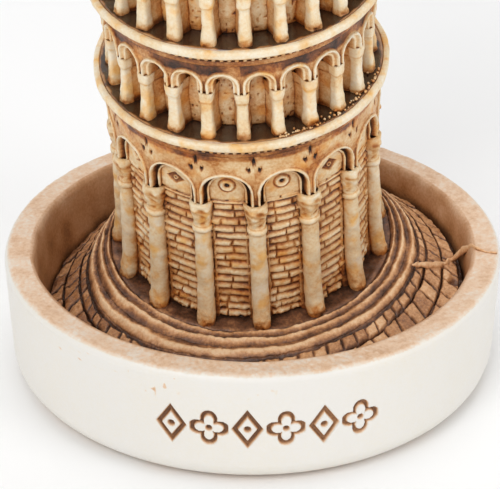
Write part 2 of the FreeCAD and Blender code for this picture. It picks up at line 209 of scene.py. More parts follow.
def make_piece(name, solid, material, nodes=(), rough=((0.6, 0.02), (0.25, 0.012)), merge=False):
    """One object from a solid, roughened like a casting, riding on the only body."""
    points, stain = solid.arrays()
    normals = vertex_normals(points, solid.faces)
    push = np.zeros(len(points))
    for seed, (size, height) in enumerate(rough):
        push += height * noise(points, size, seed + 11)
    points = (points + normals * push[:, None]) * MM
    mesh = bpy.data.meshes.new(name)
    sizes = np.concatenate([np.full(len(face), face.shape[1]) for face in solid.faces])
    corners = np.concatenate([face.ravel() for face in solid.faces])
    mesh.vertices.add(len(points))
    mesh.vertices.foreach_set("co", points.ravel())
    mesh.loops.add(len(corners))
    mesh.loops.foreach_set("vertex_index", corners.astype(np.int32))
    mesh.polygons.add(len(sizes))
    mesh.polygons.foreach_set("loop_start", (np.cumsum(sizes) - sizes).astype(np.int32))
    mesh.update(calc_edges=True)
    mesh.attributes.new("stain", "FLOAT", "POINT").data.foreach_set("value", np.clip(stain, 0, 1))
    if merge:
        shell = bmesh.new()
        shell.from_mesh(mesh)
        bmesh.ops.remove_doubles(shell, verts=shell.verts, dist=2e-6)
        bmesh.ops.recalc_face_normals(shell, faces=shell.faces)
        shell.to_mesh(mesh)
        shell.free()
    mesh.polygons.foreach_set("use_smooth", np.ones(len(mesh.polygons), bool))
    mesh.materials.append(material)
    piece = bpy.data.objects.new(name, mesh)
    bpy.context.scene.collection.objects.link(piece)
    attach(piece, BODY)
    if nodes:
        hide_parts(*nodes)
    return piece


def angles(count, start=0.0):
    return np.radians(start) + np.linspace(0, 2 * math.pi, count, endpoint=False)


def dense_profile(corners, gap):
    """Points along straight runs between corners, no further apart than gap."""
    out = []
    for (r0, z0), (r1, z1) in zip(corners[:-1], corners[1:]):
        steps = max(1, int(math.ceil(math.hypot(r1 - r0, z1 - z0) / gap)))
        for part in range(steps):
            out.append((r0 + (r1 - r0) * part / steps, z0 + (z1 - z0) * part / steps))
    out.append(corners[-1])
    return np.array(out)


def lathe(turn, profile, indexing="ij"):
    """Angle, radius and height grids of a turned profile, with a row per angle or, for "xy", per point."""
    angle, radius = np.meshgrid(turn, profile[:, 0], indexing=indexing)
    return angle, radius, np.meshgrid(turn, profile[:, 1], indexing=indexing)[1]


def backed(angle, radius, height, stain, back):
    """The grids of a drum's outside, closed behind by two (radius, height) points."""
    back = np.broadcast_to(back, (len(angle), 2, 2))
    angle = np.concatenate([angle, angle[:, :2]], 1)
    radius = np.concatenate([radius, back[..., 0]], 1)
    height = np.concatenate([height, back[..., 1]], 1)
    return angle, radius, height, np.concatenate([stain, stain[:, :2]], 1)


# ---------------- materials
def add_node(tree, kind, **values):
    node = tree.nodes.new(kind)
    for name, value in values.items():
        if name in node.inputs:
            node.inputs[name].default_value = value
        else:
            setattr(node, name, value)
    return node


def math_node(tree, operation, first, second):
    node = add_node(tree, "ShaderNodeMath", operation=operation)
    for index, value in enumerate((first, second)):
        if isinstance(value, (int, float)):
            node.inputs[index].default_value = value
        else:
            tree.links.new(value, node.inputs[index])
    return node.outputs[0]


def noise_output(tree, position, scale, detail=3.0, roughness=0.55):
    node = add_node(tree, "ShaderNodeTexNoise", Scale=scale, Detail=detail, Roughness=roughness)
    tree.links.new(position, node.inputs["Vector"])
    return node.outputs["Fac"]


def centred(tree, value, amount):
    """A 0 to 1 noise moved to swing about zero by half that amount each way."""
    return math_node(tree, "MULTIPLY", math_node(tree, "SUBTRACT", value, 0.5), amount)


OCCLUSION_SHADE_REACH = 1.3 * MM


def resin(name, ramp, roughness, blotch, speckle, occlusion_shade, bump, gloss_dark=0.0, coat=0.0, tint=None):
    """Painted resin: colour follows a value of stains and painted shade, raised in cavities by ambient
    occlusion and broken up by noise.

    ramp is (position, colour) from clean to most stained and shaded; blotch and speckle are how far slow and
    fine noise move the value; occlusion_shade is how far the painted shade of ambient occlusion in crevices
    moves it. tint multiplies the colour in soft patches.
    """
    material = bpy.data.materials.new(name)
    material.use_nodes = True
    tree = material.node_tree
    shader = tree.nodes["Principled BSDF"]
    place = tree.nodes.new("ShaderNodeTexCoord").outputs["Object"]
    # this attribute carries real stains and also painted shade and highlights, on the floor's ridges and the
    # arches' intrados
    stain = add_node(tree, "ShaderNodeAttribute", attribute_name="stain").outputs["Fac"]
    slow = noise_output(tree, place, 260.0, 4.0)
    fine = noise_output(tree, place, 2400.0, 3.0, 0.7)
    slow = centred(tree, slow, 2 * blotch)
    grain = centred(tree, fine, 2 * speckle)
    total = math_node(tree, "ADD", math_node(tree, "ADD", stain, slow), grain)
    # painted shade: an ambient-occlusion term darkens the colour in crevices and recesses
    if occlusion_shade:
        shade = add_node(tree, "ShaderNodeAmbientOcclusion", samples=6, Distance=OCCLUSION_SHADE_REACH)
        closed = math_node(tree, "SUBTRACT", 1.0, shade.outputs["AO"])
        total = math_node(tree, "ADD", total, math_node(tree, "MULTIPLY", closed, occlusion_shade))
    colour = tree.nodes.new("ShaderNodeValToRGB")
    elements = colour.color_ramp.elements
    for index, (position, value) in enumerate(ramp):
        element = elements[index] if index < 2 else elements.new(position)
        element.position = position
        element.color = (*value, 1.0)
    tree.links.new(total, colour.inputs["Fac"])
    painted = colour.outputs["Color"]
    if tint:
        patch = noise_output(tree, place, 420.0, 2.0, 0.5)
        wash = add_node(tree, "ShaderNodeMix", data_type="RGBA", blend_type="MULTIPLY")
        wash.inputs[7].default_value = (*tint, 1)
        tree.links.new(centred(tree, patch, 5.0), wash.inputs["Factor"])
        tree.links.new(painted, wash.inputs[6])
        painted = wash.outputs[2]
    tree.links.new(painted, shader.inputs["Base Color"])
    shine = math_node(tree, "SUBTRACT", roughness, math_node(tree, "MULTIPLY", total, gloss_dark))
    shine = math_node(tree, "ADD", shine, math_node(tree, "MULTIPLY", grain, 0.5))
    tree.links.new(shine, shader.inputs["Roughness"])
    shader.inputs["Coat Weight"].default_value = coat
    shader.inputs["Coat Roughness"].default_value = 0.15
    shader.inputs["Specular IOR Level"].default_value = 0.4
    relief = add_node(tree, "ShaderNodeBump", Strength=bump, Distance=0.06 * MM)
    pits = noise_output(tree, place, 5200.0, 2.0, 0.6)
    tree.links.new(math_node(tree, "ADD", fine, pits), relief.inputs["Height"])
    tree.links.new(relief.outputs["Normal"], shader.inputs["Normal"])
    return material


CREAM, PALE, SAND = (0.90, 0.80, 0.62), (0.85, 0.66, 0.40), (0.72, 0.43, 0.19)
ORANGE, RUST = (0.50, 0.19, 0.045), (0.23, 0.07, 0.02)
UMBER, SOOT = (0.085, 0.03, 0.012), (0.025, 0.011, 0.006)
tower_paint = resin(
    "tower_paint",
    ((0.0, CREAM), (0.9, SOOT), (0.18, PALE), (0.36, SAND), (0.52, ORANGE), (0.66, RUST), (0.8, UMBER)),
    roughness=0.46, blotch=0.26, speckle=0.24, occlusion_shade=0.52, bump=0.7, gloss_dark=0.2, tint=(1.0, 0.74, 0.40),
)
floor_paint = resin(
    "floor_paint",
    ((0.0, (0.86, 0.60, 0.36)), (0.98, (0.045, 0.02, 0.011)), (0.24, (0.70, 0.39, 0.19)),
     (0.46, (0.44, 0.205, 0.085)), (0.7, (0.18, 0.078, 0.04))),
    roughness=0.45, blotch=0.22, speckle=0.34, occlusion_shade=0.4, bump=0.9, gloss_dark=0.2,
)
dish_paint = resin(
    "dish_paint",
    ((0.0, (0.80, 0.775, 0.73)), (0.95, (0.05, 0.022, 0.01)), (0.13, (0.80, 0.76, 0.68)),
     (0.30, (0.76, 0.54, 0.37)), (0.46, (0.56, 0.32, 0.17)), (0.6, (0.40, 0.19, 0.075)),
     (0.74, (0.17, 0.07, 0.028))),
    roughness=0.38, blotch=0.07, speckle=0.14, occlusion_shade=0.22, bump=0.3,
)
deck_paint = resin(
    "deck_paint",
    ((0.0, (0.62, 0.38, 0.17)), (0.9, (0.02, 0.011, 0.007)), (0.25, (0.34, 0.14, 0.04)),
     (0.45, (0.10, 0.045, 0.02)), (0.62, (0.05, 0.026, 0.015))),
    roughness=0.22, blotch=0.16, speckle=0.08, occlusion_shade=0.25, bump=0.3, coat=1.0,
)


# ---------------- dish, pad and floor
FOOT_ROUND, EDGE_ROUND = 3.2, 1.0
RIM_INNER, WELL_RADIUS, WELL_FLOOR = 30.8, 29.2, 4.0
DISH_FOOT_INSET = 0.5
ORNAMENT_LOW, ORNAMENT_MIDDLE, ORNAMENT_HIGH = 5.5, 9.4, 13.5
ORNAMENT_COUNT, ORNAMENT_PITCH, ORNAMENT_CENTRE = 6, 8.4, 3.0
ORNAMENT_DEPTH = 0.55


def ornament(x, y, kind):
    """Engraving depth, 0 to 1, of a lozenge or a four-petal rosette within a few millimetres."""
    if kind == 0:
        outline = np.abs(np.abs(x) / 1.7 + np.abs(y) / 2.5 - 1)
        line = 1 - step(0.14, 0.30, outline)
        dot = 1 - step(0.3, 0.6, np.hypot(x, y))
        return np.maximum(line, dot)
    reach = np.hypot(x, y)
    turn = np.arctan2(y, x)
    petal = 1.15 + 1.2 * np.abs(np.cos(2 * turn))
    line = 1 - step(0.2, 0.5, np.abs(reach - petal))
    dot = 1 - step(0.25, 0.55, reach)
    return np.maximum(line, dot)


def ornament_row(angle, height):
    """Engraving depth of the whole row, lozenges and rosettes by turns."""
    depth = np.zeros_like(height)
    first = ORNAMENT_CENTRE - ORNAMENT_PITCH * (ORNAMENT_COUNT - 1) / 2
    for index in range(ORNAMENT_COUNT):
        x = (angle - math.radians(first + index * ORNAMENT_PITCH)) * dish_radius
        y = height - ORNAMENT_MIDDLE
        near = (np.abs(x) < 2.6) & (np.abs(y) < 3.1)
        depth = np.maximum(depth, np.where(near, ornament(x, y, index % 2), 0))
    return depth


def dish_profile():
    """The dish's section, from the pad's recess round the outside, over the rim and down into the well."""
    foot, wall_top = dish_low[2], rim_height - EDGE_ROUND
    outer_foot = dish_radius - DISH_FOOT_INSET
    arc = np.linspace(0, math.pi / 2, 8)
    recess = [(2.0, pad_high), (pad_radius + 0.1, pad_high), (pad_radius + 0.15, foot)]
    turns = [(1 - math.sin(a), 1 - math.cos(a), math.sin(a)) for a in arc]
    bottom = [(outer_foot - FOOT_ROUND * inward, foot + FOOT_ROUND * fall) for inward, fall, _ in turns]
    edge = [(dish_radius - EDGE_ROUND * fall, wall_top + EDGE_ROUND * rise) for _, fall, rise in turns]
    lip = [(RIM_INNER + 0.5, rim_height), (RIM_INNER, rim_height - 0.35)]
    well = [(WELL_RADIUS + 0.6, WELL_FLOOR + 3.5), (WELL_RADIUS, WELL_FLOOR), (2.0, WELL_FLOOR)]
    # the lip's last corner is left out, which rounds it a little
    return np.concatenate([
        dense_profile(recess, 6.0)[:-1], dense_profile(recess[-1:] + bottom, 0.5)[:-1],
        dense_profile([bottom[-1], edge[0]], 0.16)[:-1], dense_profile(edge + lip, 0.3)[:-1],
        dense_profile([lip[-1], well[0]], 0.6)[1:-1], dense_profile(well, 4.0),
    ])


def dish():
    """The dish: smooth outside with the ornament, sandy grained rim, stained well."""
    front = math.radians(30)
    turn = np.concatenate([
        np.linspace(-front, front, 340, endpoint=False),
        np.linspace(front, 2 * math.pi - front, 330, endpoint=False),
    ])
    angle, radius, height = lathe(turn, dish_profile(), "xy")
    signed = (angle + math.pi) % (2 * math.pi) - math.pi
    outside = (radius > RIM_INNER + 1.8) & (height < rim_height - EDGE_ROUND)
    marked = outside & (height > ORNAMENT_LOW) & (height < ORNAMENT_HIGH)
    cut = np.where(marked, ornament_row(signed, height), 0.0)
    around = level.at(radius, angle, height)
    sag = np.where(outside, 0.12 * noise(around, 14.0, 3) + 0.03 * noise(around, 3.0, 4), 0)
    radius = radius + sag * step(1.0, 4.0, height) - ORNAMENT_DEPTH * cut
    inner = (radius < RIM_INNER + 0.6) & (height > WELL_FLOOR - 0.1)
    top = (~inner) & (height > rim_height - 0.25)
    radius = radius + np.where(inner, 0.16 * noise(around, 5.0, 8), 0)
    height = height + np.where(top, 0.09 * noise(around, 1.4, 5) + 0.07 * noise(around, 0.5, 6), 0)
    stain = 0.04 + 0.06 * noise(around, 9.0, 7) + 0.05 * step(4.0, 1.0, height)
    pits = step(0.6, 0.8, noise(around, 0.6, 9)) * step(0.0, 0.4, noise(around, 5.0, 10))
    pits = pits * step(12.0, 15.5, height) * step(0.5, -0.5, np.sin(angle))
    stain = stain + 0.45 * pits * outside
    edge = step(dish_radius - 0.9, dish_radius - 0.15, radius)
    sandy = 0.29 + 0.09 * noise(around, 0.45, 14) + 0.06 * noise(around, 3.0, 15)
    stain = np.where(top, sandy * (1 - edge) + 0.16 * edge, stain)
    stain = np.where(inner, 0.42 + 0.16 * step(rim_height - 0.5, rim_height - 5, height), stain)
    stain = stain + np.where(inner, 0.1 * noise(around, 2.5, 16), 0) + cut * 0.6
    solid = Solid().capped(level.at(radius, angle, height), stain)
    make_piece("dish_shell", solid, dish_paint, ["base_dish"], rough=((0.9, 0.012), (0.3, 0.006)))


def pad():
    """The felt disc under the dish."""
    edge = [(pad_radius - 0.3, 0), (pad_radius, 0.25), (pad_radius, pad_high)]
    angle, radius, height = lathe(angles(240), np.array([(3, 0), *edge, (3, pad_high)]), "xy")
    material = resin(
        "felt_cloth", ((0.0, (0.035, 0.075, 0.045)), (1.0, (0.015, 0.03, 0.02))),
        roughness=0.95, blotch=0.2, speckle=0.5, occlusion_shade=0.0, bump=1.0,
    )
    solid = Solid().capped(level.at(radius, angle, height), 0.0)
    make_piece("felt_disc", solid, material, ["felt_pad"], rough=())


TERRACES = (
    ("ridge_ring_inner", 0.10), ("ridge_ring_middle", 0.22), ("ridge_ring_outer", 0.35),
    ("paving_course_inner", 0.49), ("paving_course_middle", 0.72), ("paving_course_outer", 1.0),
)
# each ridge's crest and width as shares of the way to the well's wall, and its height
RIDGES = ((0.04, 0.024, 0.5), (0.155, 0.034, 0.55), (0.30, 0.04, 0.6))
COURSE_EDGES = (0.375, 0.49, 0.72, 0.955)
PLINTH_RADIUS = 20.4
FLOOR_TOPS = ((0.0, 11.9), (0.35, 11.4), (0.49, 10.7), (0.72, 9.9), (1.0, 9.3))
FLOOR_FORWARD, FLOOR_LEFT = math.radians(6.0), math.radians(5.0)
PIT_PLACE = np.array([28.7, -1.8])


def floor_place(angle, share):
    """Point on the terraced floor that far from the tower's foot to the well's wall, without relief."""
    keep = 1 - share
    foot = tower.at(PLINTH_RADIUS, angle, 0.0)
    wall_radius = WELL_RADIUS + 0.75
    x = foot[..., 0] * keep + wall_radius * np.sin(angle) * share
    y = foot[..., 1] * keep - wall_radius * np.cos(angle) * share
    shares, tops = zip(*FLOOR_TOPS)
    plane = np.interp(share, shares, tops) + y * math.tan(FLOOR_FORWARD) + x * math.tan(FLOOR_LEFT)
    mix = step(0.0, 0.4, share)
    return np.stack([x, y, foot[..., 2] * (1 - mix) + plane * mix], -1)


def terrace_relief(angle, share):
    """Height above the plain floor and stains with painted light: three ridges near the tower, painted
    lighter on their crests as highlights and darker in the grooves as shade, then courses of blocks.
    """
    place = floor_place(angle, share)
    wobble = 0.016 * noise(place, 5.0, 21) + 0.007 * noise(place, 1.3, 22)
    along = share + wobble
    ridge = np.zeros_like(along)
    for crest, width, height in RIDGES:
        height = height * (1 + 0.3 * noise(place, 2.0 + 8 * crest, 47))
        ridge = np.maximum(ridge, height * np.exp(-((along - crest) / width) ** 2))
    # painted highlight and shade: the value falls on the ridges' crests and rises in the grooves between them
    stain = 0.7 - 1.15 * ridge + 0.14 * noise(place, 1.3, 44)
    course = np.searchsorted(COURSE_EDGES, along.ravel()).reshape(along.shape)
    block_stain = np.full_like(along, 0.86)
    block = np.zeros_like(along)
    for number, (low, high) in enumerate(zip(COURSE_EDGES[:-1], COURSE_EDGES[1:]), start=1):
        inside = course == number
        across = np.minimum(along - low, high - along) * 11.0
        length = 1.7 + 0.45 * number
        arc = angle * (21 + 9 * (low + high) / 2) / length + 0.35 * number
        arc = arc + 0.5 * flat_noise(angle * 20, 0 * share, 7.0, 30 + number)
        arc = arc + 0.12 * flat_noise(angle * 20, share * 9, 2.0, 35 + number)
        cell = np.floor(arc)
        joint = np.minimum(arc - cell, cell + 1 - arc) * length
        gap = np.minimum(across, joint)
        up = step(0.0, 0.3 + 0.1 * noise(place, 0.8, 45), gap)
        tone = lattice(cell.astype(np.int64), np.full(cell.shape, number), np.zeros(cell.shape, np.int64), 5)
        block = np.where(inside, 0.5 * up + 0.22 * (tone - 0.5), block)
        block_stain = np.where(inside, 0.74 - 0.42 * up + 0.26 * (tone - 0.5) * up, block_stain)
    paving = step(0.345, 0.38, along)
    height = ridge * (1 - paving) + (block - 0.25) * paving
    stain = stain * (1 - paving) + block_stain * paving
    left_side = step(0.2, 0.8, -np.sin(angle))
    height = height + paving * left_side * 0.3 * noise(place, 1.1, 41)
    height = height + 0.11 * noise(place, 0.5, 42) + 0.08 * noise(place, 1.2, 48)
    pit = 1 - step(0.5, 1.2, np.linalg.norm(place[..., :2] - PIT_PLACE, axis=-1))
    height, stain = height - 0.8 * pit, stain + 0.5 * pit
    stain = stain + 0.16 * left_side * paving + 0.09 * noise(place, 2.5, 43)
    return height, stain + 0.06 * noise(place, 0.5, 46)


def terraces():
    """The six rings of the floor, each a closed ring from its relief down to the well's floor."""
    turn = angles(1000, 180)
    inner = 0.0
    for node, outer in TERRACES:
        share = np.linspace(inner, outer, max(14, int((outer - inner) * 110)))
        angle, part = np.meshgrid(turn, share, indexing="ij")
        place = floor_place(angle, part)
        up, stain = terrace_relief(angle, part)
        top = place + up[..., None] * np.array([0, 0, 1.0])
        ends = place[:, [-1, 0]].copy()
        ends[..., 2] = WELL_FLOOR
        stain = np.concatenate([stain, stain[:, [-1, 0]]], 1)
        solid = Solid().ring(np.concatenate([top, ends], 1), stain)
        make_piece(f"{node}_cast", solid, floor_paint, [node], rough=((0.35, 0.05),))
        inner = outer


# x, y, z and half thickness along the flash, from the outer ridge over the wall and across the rim
FLASH_PATH = (
    (22.6, -0.9, 14.1, 0.15), (23.6, -0.3, 13.9, 0.4), (25.2, 0.6, 13.1, 0.5), (27.2, 1.7, 12.5, 0.55),
    (28.7, 3.0, 12.6, 0.5), (30.0, 2.4, 14.6, 0.5), (30.8, 0.0, 16.6, 0.5), (31.3, -2.2, 17.75, 0.4),
    (32.8, -3.5, 17.85, 0.2), (34.3, -3.9, 17.8, 0.12),
)


def casting_flash():
    """A thin crooked ridge of resin left by the mould, from the terraced floor over the dish's rim."""
    path = np.array(FLASH_PATH)
    along = np.linspace(0, len(path) - 1, 160)
    spine = np.stack([np.interp(along, np.arange(len(path)), path[:, axis]) for axis in range(4)], -1)
    padded = np.pad(spine, ((5, 5), (0, 0)), mode="edge")
    spine = sum(padded[shift:shift + len(spine)] for shift in range(11)) / 11
    spine[:, 1] += 0.15 * flat_noise(along * 2, 0 * along, 1.3, 151)
    turn = angles(16)
    thick = spine[:, 3] * (1 + 0.35 * flat_noise(along * 3, 0 * along, 1.1, 153))
    across = np.array([0.25, 0.97, 0.0])
    points = spine[:, None, :3] + (thick[:, None] * np.cos(turn))[..., None] * across
    points = points + (thick[:, None] * np.sin(turn))[..., None] * np.array([-0.25, 0.0, 0.97])
    solid = Solid().capped(points, 0.26 - 0.18 * np.sin(turn)[None, :] + 0 * thick[:, None])
    make_piece("casting_flash", solid, floor_paint, rough=((0.5, 0.08), (0.25, 0.04)))


CRUMBS = 90


def deck_crumbs():
    """Sandy crumbs of resin stuck along the lowest deck's edge, on its right-hand side."""
    random = np.random.default_rng(20)
    ball = bmesh.new()
    bmesh.ops.create_icosphere(ball, subdivisions=2, radius=1.0)
    unit = np.array([vertex.co for vertex in ball.verts])
    faces = np.array([[vertex.index for vertex in face.verts] for face in ball.faces])
    ball.free()
    solid = Solid()
    for _ in range(CRUMBS):
        angle = math.radians(15 + 62 * random.random() ** 1.3)
        radius = 19.15 - 1.3 * random.random() ** 2
        size = 0.09 + 0.13 * random.random()
        centre = tower.at(radius, angle, GROUND_TOP + 0.3 * size)
        lumps = 1 + 0.3 * noise(unit * size + centre, 0.2, 161)
        solid.add(centre + unit * size * lumps[:, None], [faces], 0.12 + 0.3 * random.random())
    make_piece("deck_crumbs", solid, tower_paint, rough=())


def plinth():
    """The rough ground that the tower stands on."""
    skirt = [(2.0, -9.0), (18.5, -9.0), (20.5, -6.0), (20.45, -0.2), (20.2, 0.0), (19.5, 0.0)]
    ground = dense_profile([(19.2, 0.0), (16.6, 0.0)], 0.2)
    profile = np.concatenate([skirt, ground, [(14.0, 0.0), (2.0, 0.0)]])
    angle, radius, height = lathe(angles(720, 180), profile, "xy")
    place = tower.at(radius, angle, height)
    lumps = 0.16 * noise(place, 1.6, 51) + 0.08 * noise(place, 0.6, 52)
    top = step(-0.3, -0.1, height)
    stain = 0.78 + 0.2 * noise(place, 1.5, 53) - 0.25 * step(19.8, 20.3, radius)
    solid = Solid().capped(tower.at(radius, angle, height + top * lumps), stain)
    make_piece("plinth_ground", solid, floor_paint, ["tower_plinth"], rough=())


# ---------------- tier parts shared by every storey
def dense_rows(heights, gap):
    out = []
    for low, high in zip(heights[:-1], heights[1:]):
        steps = max(1, int(math.ceil((high - low) / gap)))
        out += [low + (high - low) * part / steps for part in range(steps)]
    return out + [heights[-1]]



def leaves(tier, turn, z):
    """Zone and curl of the leaves carved on a post's capital, 0 where it has none."""
    if not tier["leaves"]:
        return 0.0, 0.0
    low, high = tier["leaves"]
    zone = step(low, low + 0.4, z) * (1 - step(high - 0.6, high, z))
    return zone, np.cos(turn * 5 + 2.0 * np.sin(z * 2.2)) * np.sin((z - low) * 2.4 + 0.4)


def post(axis, tier, rows, number, middle_angle):
    """Points and stain of one post: keyhole sections that run back into the wall."""
    jitter = [float(lattice(number, tier["seed"], item, 9)) - 0.5 for item in range(4)]
    reach, half, neck = (np.interp(rows, tier["heights"], tier[key]) for key in ("reach", "half", "web"))
    outer = reach + 0.1 * jitter[0]
    wide = half * (1 + 0.10 * jitter[1])
    centre = outer - wide
    bow = np.linspace(-2.35, 2.35, tier["round"])
    turn = np.concatenate([[-2.6, -2.5], bow, [2.5, 2.6]])
    side, front, square, splay = np.sin(bow), np.cos(bow), tier["square"], tier["splay"]
    x = wide[:, None] * np.sign(side) * np.abs(side) ** square
    r = centre[:, None] + wide[:, None] * np.sign(front) * np.abs(front) ** square
    back = np.stack([tier["wall"] - 0.5 + 0 * rows, tier["wall"] + 0.25 + 0 * rows], -1)
    flare = np.stack([neck * splay, neck * (1 + splay) / 2], -1)
    x = np.concatenate([-flare, x, flare[:, ::-1]], 1)
    r = np.concatenate([back, r, back[:, ::-1]], 1)
    z = np.broadcast_to(rows[:, None], x.shape)
    zone, curl = leaves(tier, turn, z)
    r = r + 0.2 * zone * curl
    x = x + 0.1 * jitter[2] * np.sin(rows * 0.5 + 6 * jitter[3])[:, None]
    points = axis.at(np.hypot(r, x), middle_angle + np.arctan2(x, r), z)
    lump = noise(points, 1.3, tier["seed"]) + 0.8 * noise(points, 3.5, tier["seed"] + 1)
    low_part = 1 - step(0.0, tier["grit"], z)
    stain = tier["stain"] + 0.08 * lump + 0.12 * low_part + 0.22 * step(1.9, 2.3, np.abs(turn))
    stain = stain + zone * (0.12 - 0.2 * curl)
    for ring in tier["rings"]:
        stain = stain + 0.22 * np.exp(-((z - ring) / 0.12) ** 2)
    grit = low_part * 0.16 * noise(points, 0.4, 61)
    stain = stain + 0.22 * low_part * np.maximum(noise(points, 0.5, 62), 0)
    return points + grit[..., None] * (points - axis.at(0 * z, 0 * z, z)) / tier["wall"], stain


def posts(name, node, axis, tier, count, phase):
    """A ring of posts, each slightly unlike the next."""
    solid = Solid()
    rows = np.array(dense_rows(tier["heights"], tier["gap"]))
    for number in range(count):
        solid.capped(*post(axis, tier, rows, number, math.radians(phase + number * 360.0 / count)))
    make_piece(name, solid, tower_paint, [node], rough=((1.1, 0.09), (0.4, 0.045)))


THROAT_ROWS = 4


def arch_bay(tier, number, count, phase):
    """One bay of an arcade: front and back grids that share the opening's edge, with their stains and the
    intrados's painted shade.
    """
    face, wall, half = tier["face"], tier["wall"], tier["opening"]
    low, spring, high = tier["low"], tier["spring"], tier["high"]
    wide = math.radians(180.0 / count) * face
    corner = math.atan2(high - spring, wide)
    jamb = np.linspace(low, spring, tier["jamb_rows"], endpoint=False)
    side_arc = np.linspace(0, corner, tier["side_rows"], endpoint=False)
    top_arc = np.linspace(corner, math.pi - corner, tier["top_rows"], endpoint=False)
    last_arc = np.linspace(math.pi - corner, math.pi, tier["side_rows"])
    arc = np.concatenate([side_arc, top_arc, last_arc])
    inner_x = np.concatenate([0 * jamb - half, -half * np.cos(arc), 0 * jamb + half])
    inner_z = np.concatenate([jamb, spring + half * np.sin(arc), jamb[::-1]])
    sideways = wide / np.maximum(np.abs(np.cos(arc)), 1e-9)
    ray = np.minimum(sideways, (high - spring) / np.maximum(np.sin(arc), 1e-9))
    outer_x = np.concatenate([0 * jamb - wide, -ray * np.cos(arc), 0 * jamb + wide])
    outer_z = np.concatenate([jamb, spring + ray * np.sin(arc), jamb[::-1]])
    length = np.hypot(outer_x - inner_x, outer_z - inner_z)
    # each moulding row's third value is stains and painted shade: the high values at the opening's edge and
    # in the recessed groove paint the intrados's shade
    distances, radii, stains = (np.array(item) for item in zip(*tier["moulding"]))
    shrink = np.minimum(1.0, length / (distances[-1] * 1.04))
    away = distances[None, :] * shrink[:, None]
    rest = np.linspace(0, 1, tier["field_rows"] + 1)[1:]
    field = away[:, -1:] + (length[:, None] - away[:, -1:]) * rest
    away = np.concatenate([away, field], 1)
    share = away / length[:, None]
    x = inner_x[:, None] + (outer_x - inner_x)[:, None] * share
    z = inner_z[:, None] + (outer_z - inner_z)[:, None] * share
    r = np.concatenate([radii, np.full(tier["field_rows"], radii[-1])])[None, :] + 0 * x
    stain = np.concatenate([stains, np.full(tier["field_rows"], stains[-1])])[None, :] + 0 * x
    centre = math.radians(phase + (number + 0.5) * 360.0 / count)
    angle = centre + x / face
    field_part = step(distances[-1] * 0.98, distances[-1] * 1.02, away + 0 * x)
    band = step(tier["band"] - 0.25, tier["band"] + 0.25, z) * field_part
    drift = 1 + 0.5 * flat_noise(angle * face, z, 2.6, tier["seed"] + 30)
    stain = stain + tier["band_stain"] * band * drift
    stain = stain + 0.14 * field_part * flat_noise(angle * face, z, 1.7, tier["seed"] + 31)
    for hole_x, hole_z, size in tier["holes"]:
        for side in (-1, 1):
            reach = np.hypot(x - side * (wide - hole_x), z - hole_z)
            deep = 1 - step(size * 0.4, size, reach)
            r = r - 0.5 * deep
            stain = stain + 0.6 * deep
    throat = np.linspace(wall, radii[0], THROAT_ROWS + 1)[:-1]
    throat_x, throat_z = (np.repeat(item[:, None], THROAT_ROWS, 1) for item in (inner_x, inner_z))
    front_angle = np.concatenate([centre + throat_x / face, angle], 1)
    front_z = np.concatenate([throat_z, z], 1)
    front_r = np.concatenate([np.broadcast_to(throat, throat_x.shape), r], 1)
    # painted shade: the throat inside the opening is darkened as the shade of the intrados
    front_stain = np.concatenate([np.full(throat_x.shape, 0.5), stain], 1)
    back_angle = centre + outer_x / face
    return front_r, front_angle, front_z, front_stain, back_angle, outer_z


def arcade(name, node, axis, tier, count, phase):
    """A ring of arched bays, its bays welded along their shared edges into one closed shell."""
    solid = Solid()
    for number in range(count):
        radius, angle, height, stain, back_angle, back_height = arch_bay(tier, number, count, phase)
        steps, depth = radius.shape
        front = axis.at(radius, angle, height)
        wob = 0.05 * noise(front, 1.5, tier["seed"])
        front = axis.at(radius + wob * step(tier["wall"], tier["face"], radius), angle, height)
        back = axis.at(tier["wall"], back_angle, back_height)
        points = np.concatenate([front.reshape(-1, 3), back])
        first = steps * depth
        here = np.arange(steps - 1)
        rear = np.stack([here * depth, (here + 1) * depth, first + here + 1, first + here], -1)
        across = np.abs(back_height[:-1] - tier["high"]) + np.abs(back_height[1:] - tier["high"]) < 1e-6
        top = here[across]
        edge = depth - 1
        lid = np.stack([top * depth + edge, first + top, first + top + 1, (top + 1) * depth + edge], -1)
        feet = []
        for row, turn in ((0, 1), (steps - 1, -1)):
            loop = [row * depth + item for item in range(depth)] + [first + row]
            feet.append(loop[::turn])
        faces = [grid_faces(steps, depth, False, False), rear[:, ::-1], lid[:, ::-1], np.array(feet)]
        values = np.concatenate([stain.reshape(-1), np.full(steps, 0.5)])
        solid.add(points, faces, values)
    make_piece(name, solid, tower_paint, [node], rough=((0.9, 0.07), (0.35, 0.035)), merge=True)


